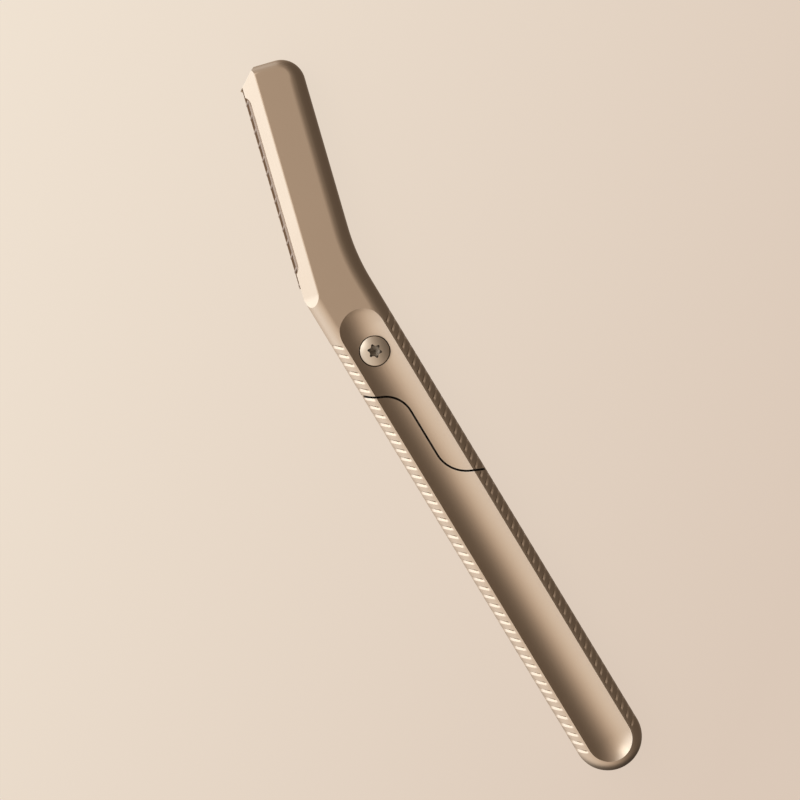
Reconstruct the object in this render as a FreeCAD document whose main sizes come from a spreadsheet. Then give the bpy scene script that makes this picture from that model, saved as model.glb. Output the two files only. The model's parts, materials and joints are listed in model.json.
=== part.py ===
"""Eyebrow razor with a swinging front jaw, built as a parametric document in millimetres.

The razor lies on its flat back. The back is the plane z = 0, the front face looks along +Z,
the handle runs along Y with the head at +Y, and the pivot screw stands on the Z axis.
The head is turned clockwise from the handle by head_angle, so its pieces are drawn in a head
frame whose Y runs along the blade and whose blade edge is on the negative X side.
"""
import FreeCAD, Part
import math
import os
import Sketcher
from FreeCAD import Placement, Rotation, Vector

doc = FreeCAD.newDocument("eyebrow_razor")

# Driving dimensions in millimetres, angles in degrees
SIZES = {
    # handle and head outline
    "thickness": 7.0,
    "handle_width": 13.0,
    "handle_reach": 85.4,
    "edge_round": 3.0,
    "head_angle": 15.0,
    "head_spine": 1.7,
    "ear_line": 10.75,
    "bend_radius": 40.0,
    "ear_bend": 6.5,
    "head_top": 58.1,
    "top_round": 1.5,
    "top_corner": 4.5,
    "top_crest": 7.0,
    "corner_slant": 43.0,
    "form_clear": 0.05,
    "head_spare": 6.0,
    # finger channel
    "channel_radius": 6.8,
    "channel_depth": 1.7,
    "channel_top": 4.15,
    "channel_low": 85.8,
    # grip ribs
    "rib_pitch": 1.9,
    "rib_count": 48,
    "rib_first": 5.14,
    "rib_rise": 0.52,
    "rib_start_angle": 26.0,
    "rib_end_angle": 77.0,
    "rib_runout": 0.04,
    "rib_spare": 0.3,
    "rib_steep_side": 25.0,
    "rib_gentle_side": 66.0,
    "rib_cutter": 0.4,
    # split between the jaw and the handle
    "parting": 3.5,
    "parting_gap": 0.1,
    "shoulder_radius": 8.8,
    "split_gap": 0.4,
    "split_corner": 5.54,
    "split_drop": 22.9,
    "tongue_round": 6.35,
    "tongue_slope": 25.0,
    # bevels beside the blade
    "crest_line": 7.3,
    "crest_ease": 0.25,
    "bevel_low": 14.0,
    "bevel_runout": 5.0,
    "lip_line": 10.2,
    "lip_height": 0.3,
    "rear_lip": 0.6,
    "window_line": 9.7,
    "window_low": 17.3,
    "window_high": 53.9,
    "window_round": 2.5,
    "window_taper": 22.0,
    "nick_place": 27.9,
    "nick_width": 1.0,
    "nick_depth": 0.45,
    "nick_height": 1.2,
    "cutter_reach": 15.0,
    "cutter_overlap": 2.0,
    "window_overlap": 0.2,
    # blade and its folded guard
    "blade_edge": 10.4,
    "blade_back": 4.4,
    "blade_low": 15.3,
    "blade_high": 54.7,
    "blade_thickness": 0.25,
    "hone_width": 0.9,
    "guard_foil": 0.09,
    "guard_back": 7.6,
    "guard_tip": 0.1,
    "guard_pitch": 2.745,
    "guard_bar": 0.23,
    "guard_first_bar": 16.045,
    "guard_bars": 14,
    "guard_slant": 1.55,
    "guard_window": 9.95,
    "guard_cut": 0.3,
    "guard_fit": 0.005,
    "guard_fold": 0.03,
    "guard_nose": 0.063,
    "guard_ease": 0.05,
    "guard_seat_clear": 0.01,
    "seat_clear": 0.1,
    # pins and magnets
    "pin_radius": 0.75,
    "pin_depth": 1.8,
    "pin_line": 5.9,
    "pin_low": 21.5,
    "pin_high": 48.8,
    "pin_play": 0.06,
    "pin_slot": 0.5,
    "magnet_radius": 1.5,
    "magnet_height": 1.2,
    "catch_across": 3.4,
    "catch_down": 20.0,
    # pivot
    "screw_head_radius": 2.8,
    "screw_head_height": 1.6,
    "screw_rim": 1.0,
    "screw_radius": 1.5,
    "screw_length": 4.35,
    "socket_turn": 22.0,
    "socket_depth": 0.85,
    "socket_point": 0.45,
    "socket_outer": 1.37,
    "socket_inner": 0.99,
    "socket_lobe": 0.229,
    "sleeve_radius": 2.1,
    "sleeve_bore": 1.53,
    "sleeve_play": 0.03,
    "counterbore_radius": 3.1,
    "hub_thickness": 1.3,
    "spring_height": 0.3,
    "spring_sheet": 0.18,
    "spring_clear": 0.01,
    "spring_radius": 2.95,
    "washer_sheet": 0.29,
    "washer_recess": 0.2,
    "washer_radius": 4.2,
    "thread_clear": 0.01,
    "thread_end": 0.15,
}

dims = doc.addObject("Spreadsheet::Sheet", "dims")
for row, (alias, value) in enumerate(SIZES.items(), start=1):
    dims.set(f"A{row}", alias)
    dims.set(f"B{row}", str(value))
    dims.setAlias(f"B{row}", alias)
doc.recompute()


def size(alias):
    """Value of one cell of the sheet."""
    return float(dims.get(alias))


HEAD_TURN = Placement(Vector(0, 0, 0), Rotation(Vector(0, 0, 1), -size("head_angle")))
ALONG_Y = Rotation(Vector(1, 0, 0), -90)
HANDLE_FACE = size("parting") - size("parting_gap") / 2
JAW_FACE = size("parting") + size("parting_gap") / 2
SEAT_FLOOR = HANDLE_FACE - size("blade_thickness")
CHANNEL_AXIS = size("thickness") - size("channel_depth") + size("channel_radius")
HUB_TOP = JAW_FACE + size("hub_thickness")
HEAD_SEAT = HUB_TOP + size("spring_height")
RECESS_FLOOR = HANDLE_FACE - size("washer_recess")
SPACE = 30.0


# Helpers for sketches, bodies and solids

def line(x0, y0, x1, y1):
    return Part.LineSegment(Vector(x0, y0, 0), Vector(x1, y1, 0))


def arc(x, y, radius, start, end):
    """Arc about (x, y), anticlockwise from start to end in degrees."""
    circle = Part.Circle(Vector(x, y, 0), Vector(0, 0, 1), radius)
    return Part.ArcOfCircle(circle, math.radians(start), math.radians(end))


def nearest_ends(one, two):
    """Which ends of two curves meet: 1 is a start point, 2 an end point."""
    ends = [(1, "StartPoint"), (2, "EndPoint")]
    pairs = [(getattr(one, a).distanceToPoint(getattr(two, b)), i, j) for i, a in ends for j, b in ends]
    return min(pairs)[1:]


def draw(sketch, curves, smooth=()):
    """Adds a closed loop of curves, each joined to the next, with tangent joints after those in smooth."""
    first = sketch.GeometryCount
    sketch.addGeometry(curves, False)
    for i, curve in enumerate(curves):
        follower = (i + 1) % len(curves)
        here, there = nearest_ends(curve, curves[follower])
        kind = "Tangent" if i in smooth else "Coincident"
        sketch.addConstraint(Sketcher.Constraint(kind, first + i, here, first + follower, there))


def bind(sketch, name, expression, *constraint):
    """Adds a named dimension to a sketch and ties it to cells of the sheet."""
    index = sketch.addConstraint(Sketcher.Constraint(*constraint))
    sketch.renameConstraint(index, name)
    sketch.setExpression("Constraints." + name, expression)


def new_body(label, placement=Placement()):
    body = doc.addObject("PartDesign::Body", label)
    body.Label = label
    body.Placement = placement
    return body


def plane_sketch(body, name, role, offset=0.0):
    """Sketch on one of the body's own origin planes."""
    sketch = body.newObject("Sketcher::SketchObject", name)
    plane = next(item for item in body.Origin.OriginFeatures if item.Role == role)
    sketch.AttachmentSupport = (plane, "")
    sketch.MapMode = "FlatFace"
    sketch.AttachmentOffset = Placement(Vector(0, 0, offset), Rotation())
    return sketch


def pad(body, name, sketch, expression, symmetric=False):
    feature = body.newObject("PartDesign::Pad", name)
    feature.Profile = sketch
    feature.SideType = "Symmetric" if symmetric else "One side"
    feature.setExpression("Length", expression)
    sketch.Visibility = False
    return feature


def dress(body, kind, name, base, edges, prop, expression):
    """Fillet or chamfer on edges picked by their position."""
    feature = body.newObject("PartDesign::" + kind, name)
    feature.Base = (base, edges)
    feature.setExpression(prop, expression)
    return feature


def edges_where(shape, test):
    return [f"Edge{i}" for i, edge in enumerate(shape.Edges, start=1) if test(edge)]


def box(name, lengths, placement):
    solid = doc.addObject("Part::Box", name)
    solid.Length, solid.Width, solid.Height = lengths
    solid.Placement = placement
    return solid


def cylinder(name, radius, height, placement):
    solid = doc.addObject("Part::Cylinder", name)
    solid.setExpression("Radius", radius)
    solid.setExpression("Height", height)
    solid.Placement = placement
    return solid


def fuse(name, solids):
    whole = doc.addObject("Part::MultiFuse", name)
    whole.Shapes = solids
    return whole


def boolean(kind, name, base, tool):
    result = doc.addObject("Part::" + kind, name)
    result.Base = base
    result.Tool = tool
    result.Label = name
    return result


def at(x, y, z):
    return Placement(Vector(x, y, z), Rotation())


def in_head(x, y, z):
    """Place in the head frame: x across the blade, y along it."""
    return HEAD_TURN * at(x, y, z)


# Outer form: a bent bar with a rounded handle end and rounded long edges

def bar_outline(sketch, grow, finished_top):
    """Plan of the bar grown by the expression grow, with its real top or with a spare length."""
    extra = size("form_clear") if finished_top else 0.0
    half = size("handle_width") / 2 + extra
    reach = size("handle_reach")
    turn = math.radians(size("head_angle"))
    along = Vector(math.sin(turn), math.cos(turn), 0)
    across = Vector(math.cos(turn), -math.sin(turn), 0)
    ear = size("ear_line") + extra
    spine = size("head_spine") + extra
    outer = size("ear_bend")
    inner = size("bend_radius")
    outer_y = (ear - half * math.cos(turn) - outer * (1 - math.cos(turn))) / math.sin(turn)
    inner_y = (half * math.cos(turn) - spine - inner * (1 - math.cos(turn))) / math.sin(turn)
    top = size("head_top") if finished_top else size("head_top") + size("head_spare")

    def head(x, y):
        point = across * x + along * y
        return point.x, point.y

    def head_line(x0, y0, x1, y1):
        return line(*head(x0, y0), *head(x1, y1))

    outer_end = Vector(outer - half, outer_y, 0) - across * outer
    inner_end = Vector(half + inner, inner_y, 0) - across * inner
    degrees = size("head_angle")
    curves = [
        line(-half, -reach, -half, outer_y),
        arc(outer - half, outer_y, outer, 180 - degrees, 180),
    ]
    smooth = [0, 1]
    if finished_top:
        corner = size("top_corner")
        slant = math.tan(math.radians(size("corner_slant")))
        crest = size("top_crest")
        low = top - (ear - crest) * slant
        start = 180 - degrees
        curves += [
            line(outer_end.x, outer_end.y, *head(-ear, low)),
            head_line(-ear, low, -crest, top),
            head_line(-crest, top, spine - corner, top),
            arc(*head(spine - corner, top - corner), corner, -degrees, 90 - degrees),
            line(*head(spine, top - corner), inner_end.x, inner_end.y),
        ]
        smooth += [4, 5, 6]
    else:
        curves += [
            line(outer_end.x, outer_end.y, *head(-ear, top)),
            head_line(-ear, top, spine, top),
            line(*head(spine, top), inner_end.x, inner_end.y),
        ]
        smooth += [4]
    bend = len(curves)
    curves += [
        arc(half + inner, inner_y, inner, 180 - degrees, 180),
        line(half, inner_y, half, -reach),
        arc(0, -reach, half, 180, 360),
    ]
    smooth += [bend, bend + 1, bend + 2]
    draw(sketch, curves, smooth)
    end = bend + 2
    head_left = 2
    head_right = bend - 1
    top_line = 4 if finished_top else 3
    sketch.addConstraint(Sketcher.Constraint("Vertical", 0))
    sketch.addConstraint(Sketcher.Constraint("PointOnObject", end, 3, -2))
    sketch.addConstraint(Sketcher.Constraint("Parallel", head_left, head_right))
    sketch.addConstraint(Sketcher.Constraint("Perpendicular", head_left, top_line))
    bind(sketch, "end_radius", "dims.handle_width / 2" + grow, "Radius", end, half)
    bind(sketch, "end_centre", "dims.handle_reach", "DistanceY", end, 3, -1, 1, reach)
    bind(sketch, "outer_bend", "dims.ear_bend", "Radius", 1, outer)
    bind(sketch, "inner_bend", "dims.bend_radius", "Radius", bend, inner)
    bind(sketch, "ear_side", "dims.ear_line" + grow, "Distance", -1, 1, head_left, ear)
    bind(sketch, "spine_side", "dims.head_spine" + grow, "Distance", -1, 1, head_right, spine)
    lean = math.pi / 2 - turn
    bind(sketch, "lean", "90 deg - dims.head_angle * 1 deg", "Angle", head_left, lean)
    if finished_top:
        bind(sketch, "top_edge", "dims.head_top", "Distance", -1, 1, top_line, top)
        bind(sketch, "top_corner", "dims.top_corner", "Radius", 5, size("top_corner"))
    else:
        bind(sketch, "top_edge", "dims.head_top + dims.head_spare", "Distance", -1, 1, top_line, top)


def long_edges(shape, top_limit):
    """Edges of the front and back faces, without those that lie beyond the limit in the head frame."""
    turn = math.radians(size("head_angle"))

    def wanted(edge):
        middle = edge.valueAt((edge.FirstParameter + edge.LastParameter) / 2)
        level = edge.BoundBox.ZLength < 1e-6
        return level and middle.x * math.sin(turn) + middle.y * math.cos(turn) < top_limit

    return edges_where(shape, wanted)


def make_bar(label, grow, finished_top, rounding):
    body = new_body(label)
    sketch = plane_sketch(body, label + "_plan", "XY_Plane")
    bar_outline(sketch, grow, finished_top)
    block = pad(body, label + "_pad", sketch, "dims.thickness")
    doc.recompute()
    if finished_top:
        edges = long_edges(block.Shape, 2 * size("head_top"))
        edges = [name for name in edges if not is_slanted(block.Shape.getElement(name))]
    else:
        edges = long_edges(block.Shape, size("head_top") + size("head_spare") / 2)
    dress(body, "Fillet", label + "_round", block, edges, "Radius", rounding)
    doc.recompute()
    return body


def is_slanted(edge):
    """True for the slanted corner at the head's top, on the blade side."""
    if not isinstance(edge.Curve, Part.Line):
        return False
    direction = HEAD_TURN.Rotation.inverted().multVec(edge.Curve.Direction)
    return 0.1 < abs(direction.x) < 0.95


bar = make_bar("bar", "", False, "dims.edge_round")
head_end = make_bar("head_end", " + dims.form_clear", True, "dims.top_round")
plain_form = boolean("Common", "plain_form", bar, head_end)


# Finger channel along the front face, round at both ends

def channel_ball(name, y):
    ball = doc.addObject("Part::Sphere", name)
    ball.setExpression("Radius", "dims.channel_radius")
    ball.Placement = at(0, y, CHANNEL_AXIS)
    return ball


channel_run = cylinder(
    "channel_run", "dims.channel_radius", "dims.channel_top + dims.channel_low",
    Placement(Vector(0, -size("channel_low"), CHANNEL_AXIS), ALONG_Y))
channel_cutter = fuse("channel_cutter", [
    channel_run,
    channel_ball("channel_head_ball", size("channel_top")),
    channel_ball("channel_end_ball", -size("channel_low")),
])
channelled_form = boolean("Cut", "channelled_form", plain_form, channel_cutter)


# Diagonal grip ribs: straight vee grooves cut across each rounded flank, rising towards the head

def vee_bar(start, end, outward):
    """Triangular bar whose point runs from start to end, steep on the head side and gentle on the other."""
    run = (end - start).normalize()
    out = (outward - run * outward.dot(run)).normalize()
    side = run.cross(out)
    height = size("rib_cutter")
    gentle = height * math.tan(math.radians(size("rib_gentle_side")))
    steep = height * math.tan(math.radians(size("rib_steep_side")))
    spare = run * size("rib_spare")
    point = start - spare
    corners = [point, point + out * height + side * gentle, point + out * height - side * steep]
    face = Part.Face(Part.makePolygon(corners + corners[:1]))
    return face.extrude(end - start + spare * 2)


def rib_groove():
    """One straight groove across the right flank, from just outside the front crest to near the side."""
    rounding = size("edge_round")
    radius = rounding + size("rib_runout")
    begin = math.radians(size("rib_start_angle"))
    finish = math.radians(size("rib_end_angle"))

    def station(angle):
        """Point just off the rounded flank, at an angle from the front normal."""
        x = size("handle_width") / 2 - rounding + radius * math.sin(angle)
        z = size("thickness") - rounding + radius * math.cos(angle)
        return Vector(x, -size("rib_rise") * rounding * (math.pi / 2 - angle), z)

    middle = (begin + finish) / 2
    return vee_bar(station(begin), station(finish), Vector(math.sin(middle), 0, math.cos(middle)))


def rib_cutters():
    right = rib_groove()
    left = right.mirror(Vector(0, 0, 0), Vector(1, 0, 0))
    grooves = []
    for i in range(int(size("rib_count"))):
        step = Vector(0, size("rib_first") - i * size("rib_pitch"), 0)
        grooves += [right.translated(step), left.translated(step)]
    return Part.makeCompound(grooves)


ribs = doc.addObject("Part::Feature", "rib_cutters")
ribs.Shape = rib_cutters()
razor_form = boolean("Cut", "razor_form", channelled_form, ribs)


# Split between the swinging jaw and the handle: a flat parting plane and an S-shaped line

def split_region(name, sign, floor):
    """Space above the S-shaped line, moved off the line by half the gap in the jaw's favour or not."""
    sketch = doc.addObject("Sketcher::SketchObject", name + "_plan")
    shift = sign * size("split_gap") / 2
    shoulder = size("shoulder_radius")
    corner = size("split_corner")
    drop = size("split_drop")
    tongue = size("tongue_round")
    slope = size("tongue_slope")
    corner_y = -math.sqrt((shoulder + corner) ** 2 - corner ** 2)
    lean = math.degrees(math.atan2(-corner_y, corner))
    left = 200.0
    left_x = (shoulder - shift) * math.cos(math.radians(left))
    left_y = (shoulder - shift) * math.sin(math.radians(left))
    end_angle = math.radians(270 - slope)
    end_x = tongue + (tongue - shift) * math.cos(end_angle)
    end_y = -drop + (tongue - shift) * math.sin(end_angle)
    far_x = 2 * SPACE
    far_y = end_y - (far_x - end_x) * math.tan(math.radians(slope))
    high = 3 * SPACE
    draw(sketch, [
        arc(0, 0, shoulder - shift, left, 180 + lean),
        arc(-corner, corner_y, corner + shift, 0, lean),
        line(shift, corner_y, shift, -drop),
        arc(tongue, -drop, tongue - shift, 180, 270 - slope),
        line(end_x, end_y, far_x, far_y),
        line(far_x, far_y, far_x, high),
        line(far_x, high, -SPACE, high),
        line(-SPACE, high, -SPACE, left_y),
        line(-SPACE, left_y, left_x, left_y),
    ], smooth=[0, 1, 2, 3])
    grow = "" if sign > 0 else "-"
    moved = f"{grow}dims.split_gap / 2"
    sketch.addConstraint(Sketcher.Constraint("Coincident", 0, 3, -1, 1))
    bind(sketch, "shoulder", f"dims.shoulder_radius - ({moved})", "Radius", 0, shoulder - shift)
    bind(sketch, "corner", f"dims.split_corner + ({moved})", "Radius", 1, corner + shift)
    bind(sketch, "corner_place", "dims.split_corner", "DistanceX", 1, 3, -1, 1, corner)
    bind(sketch, "tongue", f"dims.tongue_round - ({moved})", "Radius", 3, tongue - shift)
    bind(sketch, "tongue_down", "dims.split_drop", "DistanceY", 3, 3, -1, 1, drop)
    sketch.addConstraint(Sketcher.Constraint("Vertical", 2))
    prism = doc.addObject("Part::Extrusion", name)
    prism.Base = sketch
    prism.DirMode = "Normal"
    prism.Solid = True
    prism.setExpression("LengthFwd", "2 * dims.thickness")
    prism.Placement = at(0, 0, floor)
    return prism


jaw_region = split_region("jaw_region", 1, JAW_FACE)
handle_relief = split_region("handle_relief", -1, HANDLE_FACE)
jaw_blank = boolean("Common", "jaw_blank", razor_form, jaw_region)
handle_blank = boolean("Cut", "handle_blank", razor_form, handle_relief)


# Cutters that follow the blade, in the head frame

def bevel_cutter(name, crest_x, crest_z, slope):
    """Block whose flat face falls away from the crest line towards the blade, at a slope in degrees.
    At its lower end the flat lifts out of the metal in an arc, as a round cutter leaves it."""
    reach = size("cutter_reach")
    radius = size("bevel_runout")
    start = Vector(crest_x, size("bevel_low"), crest_z)
    tilt = HEAD_TURN * Placement(start, Rotation(Vector(0, 1, 0), -slope))
    outwards = 1 if slope > 0 else -1
    corner = at(-reach, 0, min(0, outwards * reach))
    flat = box(name + "_flat", (reach + size("cutter_overlap"), size("head_top"), reach), tilt * corner)
    across = Placement(Vector(-reach, 0, outwards * radius), Rotation(Vector(0, 1, 0), 90))
    runout = cylinder(
        name + "_runout", "dims.bevel_runout", "dims.cutter_reach + dims.cutter_overlap", tilt * across)
    return fuse(name, [flat, runout])


def window_cutter(name, low, high, floor, upwards):
    """Rounded slot beside the blade edge that widens away from the parting plane."""
    sketch = doc.addObject("Sketcher::SketchObject", name + "_plan")
    inner = -size("window_line")
    outer = inner - SPACE / 3
    radius = size("window_round")
    draw(sketch, [
        line(inner, low + radius, inner, high - radius),
        arc(inner - radius, high - radius, radius, 0, 90),
        line(inner - radius, high, outer, high),
        line(outer, high, outer, low),
        line(outer, low, inner - radius, low),
        arc(inner - radius, low + radius, radius, 270, 360),
    ], smooth=[0, 1, 4, 5])
    bind(sketch, "corner", "dims.window_round", "Radius", 1, radius)
    prism = doc.addObject("Part::Extrusion", name)
    prism.Base = sketch
    prism.DirMode = "Normal"
    prism.Solid = True
    prism.Reversed = not upwards
    prism.setExpression("LengthFwd", "dims.thickness")
    prism.setExpression("TaperAngle", "dims.window_taper")
    prism.Placement = in_head(0, 0, floor)
    return prism


# Front jaw

BEVEL_SLOPE = math.degrees(math.atan2(
    size("thickness") - JAW_FACE - size("lip_height"), size("lip_line") - size("crest_line")))
REAR_SLOPE = math.degrees(math.atan2(
    HANDLE_FACE - size("rear_lip"), size("ear_line") - size("crest_line")))
jaw_bevel = bevel_cutter("jaw_bevel", -size("crest_line"), size("thickness"), BEVEL_SLOPE)
jaw_crest = bevel_cutter(
    "jaw_crest", size("crest_ease") - size("crest_line"), size("thickness"), BEVEL_SLOPE / 2)
jaw_trim = box("jaw_trim", (SPACE, 4 * SPACE, SPACE), in_head(-size("lip_line") - SPACE, -SPACE, 0))
jaw_window = window_cutter(
    "jaw_window", size("window_low"), size("window_high"), JAW_FACE - size("window_overlap"), True)
jaw_bore = cylinder("jaw_bore", "dims.sleeve_radius + dims.sleeve_play", "2 * dims.thickness", at(0, 0, 0))
jaw_counterbore = cylinder("jaw_counterbore", "dims.counterbore_radius", "dims.thickness", at(0, 0, HUB_TOP))
jaw_magnet_hole = cylinder(
    "jaw_magnet_hole", "dims.magnet_radius", "2 * dims.magnet_height",
    at(size("catch_across"), -size("catch_down"), JAW_FACE - size("magnet_height")))
jaw_nick = box(
    "jaw_nick", (SPACE, size("nick_width"), 2 * size("nick_height")),
    in_head(size("head_spine") - size("nick_depth"), size("nick_place"), JAW_FACE - size("nick_height")))
jaw_cutters = fuse("jaw_cutters", [
    jaw_bevel, jaw_crest, jaw_trim, jaw_window, jaw_bore, jaw_counterbore, jaw_magnet_hole, jaw_nick])
front_jaw = boolean("Cut", "front_jaw", jaw_blank, jaw_cutters)


# Handle with the rear half of the head

def seat_box(name, back_line, floor):
    low = size("blade_low") - size("seat_clear")
    high = size("blade_high") + size("seat_clear")
    back = -back_line + size("seat_clear")
    return box(name, (SPACE, high - low, SPACE), in_head(back - SPACE, low, floor))


handle_bevel = bevel_cutter("handle_bevel", -size("crest_line"), 0.0, -REAR_SLOPE)
handle_window = window_cutter(
    "handle_window", size("blade_low") - size("seat_clear"), size("blade_high") + size("seat_clear"),
    HANDLE_FACE + size("window_overlap"), False)
blade_seat = seat_box("blade_seat", size("blade_back"), SEAT_FLOOR)
guard_seat = seat_box(
    "guard_seat", size("guard_back"), SEAT_FLOOR - size("guard_foil") - size("guard_seat_clear"))
washer_pocket = cylinder(
    "washer_pocket", "dims.washer_radius + dims.seat_clear", "dims.thickness", at(0, 0, RECESS_FLOOR))
screw_hole = cylinder(
    "screw_hole", "dims.screw_radius + dims.thread_clear", "dims.thickness",
    at(0, 0, HEAD_SEAT - size("screw_length") - size("thread_end")))
catch_hole = cylinder(
    "catch_hole", "dims.magnet_radius", "2 * dims.magnet_height",
    at(size("catch_across"), -size("catch_down"), HANDLE_FACE - size("magnet_height")))


def pin_hole(name, y):
    return cylinder(
        name, "dims.pin_radius", "dims.thickness",
        in_head(-size("pin_line"), y, SEAT_FLOOR - size("pin_depth")))


pin_holes = [pin_hole("low_pin_hole", size("pin_low")), pin_hole("high_pin_hole", size("pin_high"))]
lower_ear_trim = box(
    "lower_ear_trim", (SPACE, SPACE + size("blade_low") + size("window_round"), SPACE),
    in_head(-size("lip_line") - SPACE, -SPACE, 0))
handle_cutters = fuse("handle_cutters", [
    lower_ear_trim, handle_bevel, handle_window, blade_seat, guard_seat, washer_pocket, screw_hole,
    catch_hole] + pin_holes)
handle_body = boolean("Cut", "handle_body", handle_blank, handle_cutters)


# Round pieces: pins, magnets, sleeve and washers

def disc(label, radius, height, placement):
    """Plain disc standing on its own XY plane."""
    body = new_body(label, placement)
    sketch = plane_sketch(body, label + "_plan", "XY_Plane")
    sketch.addGeometry(Part.Circle(Vector(0, 0, 0), Vector(0, 0, 1), 1.0), False)
    sketch.addConstraint(Sketcher.Constraint("Coincident", 0, 3, -1, 1))
    bind(sketch, "radius", radius, "Radius", 0, 1.0)
    pad(body, label + "_pad", sketch, height)
    return body


def ring(label, outer, bore, height, placement):
    """Flat ring standing on its own XY plane."""
    body = new_body(label, placement)
    sketch = plane_sketch(body, label + "_plan", "XY_Plane")
    for i, (name, radius, guess) in enumerate([("outer", outer, 2.0), ("bore", bore, 1.0)]):
        sketch.addGeometry(Part.Circle(Vector(0, 0, 0), Vector(0, 0, 1), guess), False)
        sketch.addConstraint(Sketcher.Constraint("Coincident", i, 3, -1, 1))
        bind(sketch, name, radius, "Radius", i, guess)
    pad(body, label + "_pad", sketch, height)
    return body


def magnet(label, placement):
    return disc(label, "dims.magnet_radius", "dims.magnet_height", placement)


def blade_pin(label, y):
    place = in_head(-size("pin_line"), y, SEAT_FLOOR - size("pin_depth"))
    return disc(label, "dims.pin_radius", "dims.pin_depth + dims.blade_thickness", place)


def revolve(body, label, curves):
    """Turns a closed half section, drawn right of the axis, about the body's Z axis."""
    sketch = plane_sketch(body, label + "_section", "XZ_Plane")
    draw(sketch, curves)
    turned = body.newObject("PartDesign::Revolution", label + "_turned")
    turned.Profile = sketch
    turned.ReferenceAxis = (sketch, ["V_Axis"])
    turned.Angle = 360.0
    sketch.Visibility = False
    return sketch, turned


def chain(points):
    """Straight lines through points, closed back to the first."""
    return [line(*points[i], *points[(i + 1) % len(points)]) for i in range(len(points))]


lower_blade_pin = blade_pin("lower_blade_pin", size("pin_low"))
upper_blade_pin = blade_pin("upper_blade_pin", size("pin_high"))
handle_magnet = magnet(
    "handle_magnet", at(size("catch_across"), -size("catch_down"), HANDLE_FACE - size("magnet_height")))
jaw_magnet = magnet("jaw_magnet", at(size("catch_across"), -size("catch_down"), JAW_FACE))
pivot_sleeve = ring(
    "pivot_sleeve", "dims.sleeve_radius", "dims.sleeve_bore",
    "dims.washer_recess + dims.parting_gap + dims.hub_thickness + dims.spring_height",
    at(0, 0, RECESS_FLOOR))
thrust_washer = ring(
    "thrust_washer", "dims.washer_radius", "dims.sleeve_radius + dims.sleeve_play", "dims.washer_sheet",
    at(0, 0, RECESS_FLOOR))


# Cone-shaped spring washer under the screw head

def make_spring_washer():
    body = new_body("spring_washer", at(0, 0, HUB_TOP))
    inner = size("sleeve_radius") + size("sleeve_play")
    outer = size("spring_radius")
    sheet = size("spring_sheet")
    low = size("spring_clear")
    rise = size("spring_height") - sheet - 2 * low
    sketch, _ = revolve(body, "spring_washer", chain([
        (inner, low + rise), (outer, low), (outer, low + sheet), (inner, low + rise + sheet)]))
    sketch.addConstraint(Sketcher.Constraint("Vertical", 1))
    sketch.addConstraint(Sketcher.Constraint("Vertical", 3))
    bind(sketch, "inner", "dims.sleeve_radius + dims.sleeve_play", "DistanceX", -1, 1, 0, 1, inner)
    bind(sketch, "outer", "dims.spring_radius", "DistanceX", -1, 1, 1, 1, outer)
    bind(sketch, "sheet", "dims.spring_sheet", "DistanceY", 1, 1, 1, 2, sheet)
    bind(sketch, "inner_sheet", "dims.spring_sheet", "DistanceY", 3, 2, 3, 1, sheet)
    return body


spring_washer = make_spring_washer()


# Pivot screw: low domed head with a six-lobe socket

def socket_lobes():
    """Six round lobes joined by six round valleys, each tangent to the next."""
    lobe = size("socket_lobe")
    lobe_place = size("socket_outer") - lobe
    inner = size("socket_inner")
    half = math.radians(30)
    reach = lobe_place * math.cos(half)
    valley = (lobe_place ** 2 + inner ** 2 - 2 * inner * reach - lobe ** 2) / (2 * (lobe + reach - inner))
    valley_place = inner + valley
    curves = []
    for i in range(6):
        turn = i * 60
        lobe_x = lobe_place * math.cos(math.radians(turn))
        lobe_y = lobe_place * math.sin(math.radians(turn))
        valley_x = valley_place * math.cos(math.radians(turn + 30))
        valley_y = valley_place * math.sin(math.radians(turn + 30))
        meet = math.degrees(math.atan2(valley_y - lobe_y, valley_x - lobe_x))
        spread = (meet - turn + 180) % 360 - 180
        back = turn + 30 + 180
        opening = turn + spread + 180 - back
        curves.append(arc(lobe_x, lobe_y, lobe, turn - spread, turn + spread))
        curves.append(arc(valley_x, valley_y, valley, back - opening, back + opening))
    return curves


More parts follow.
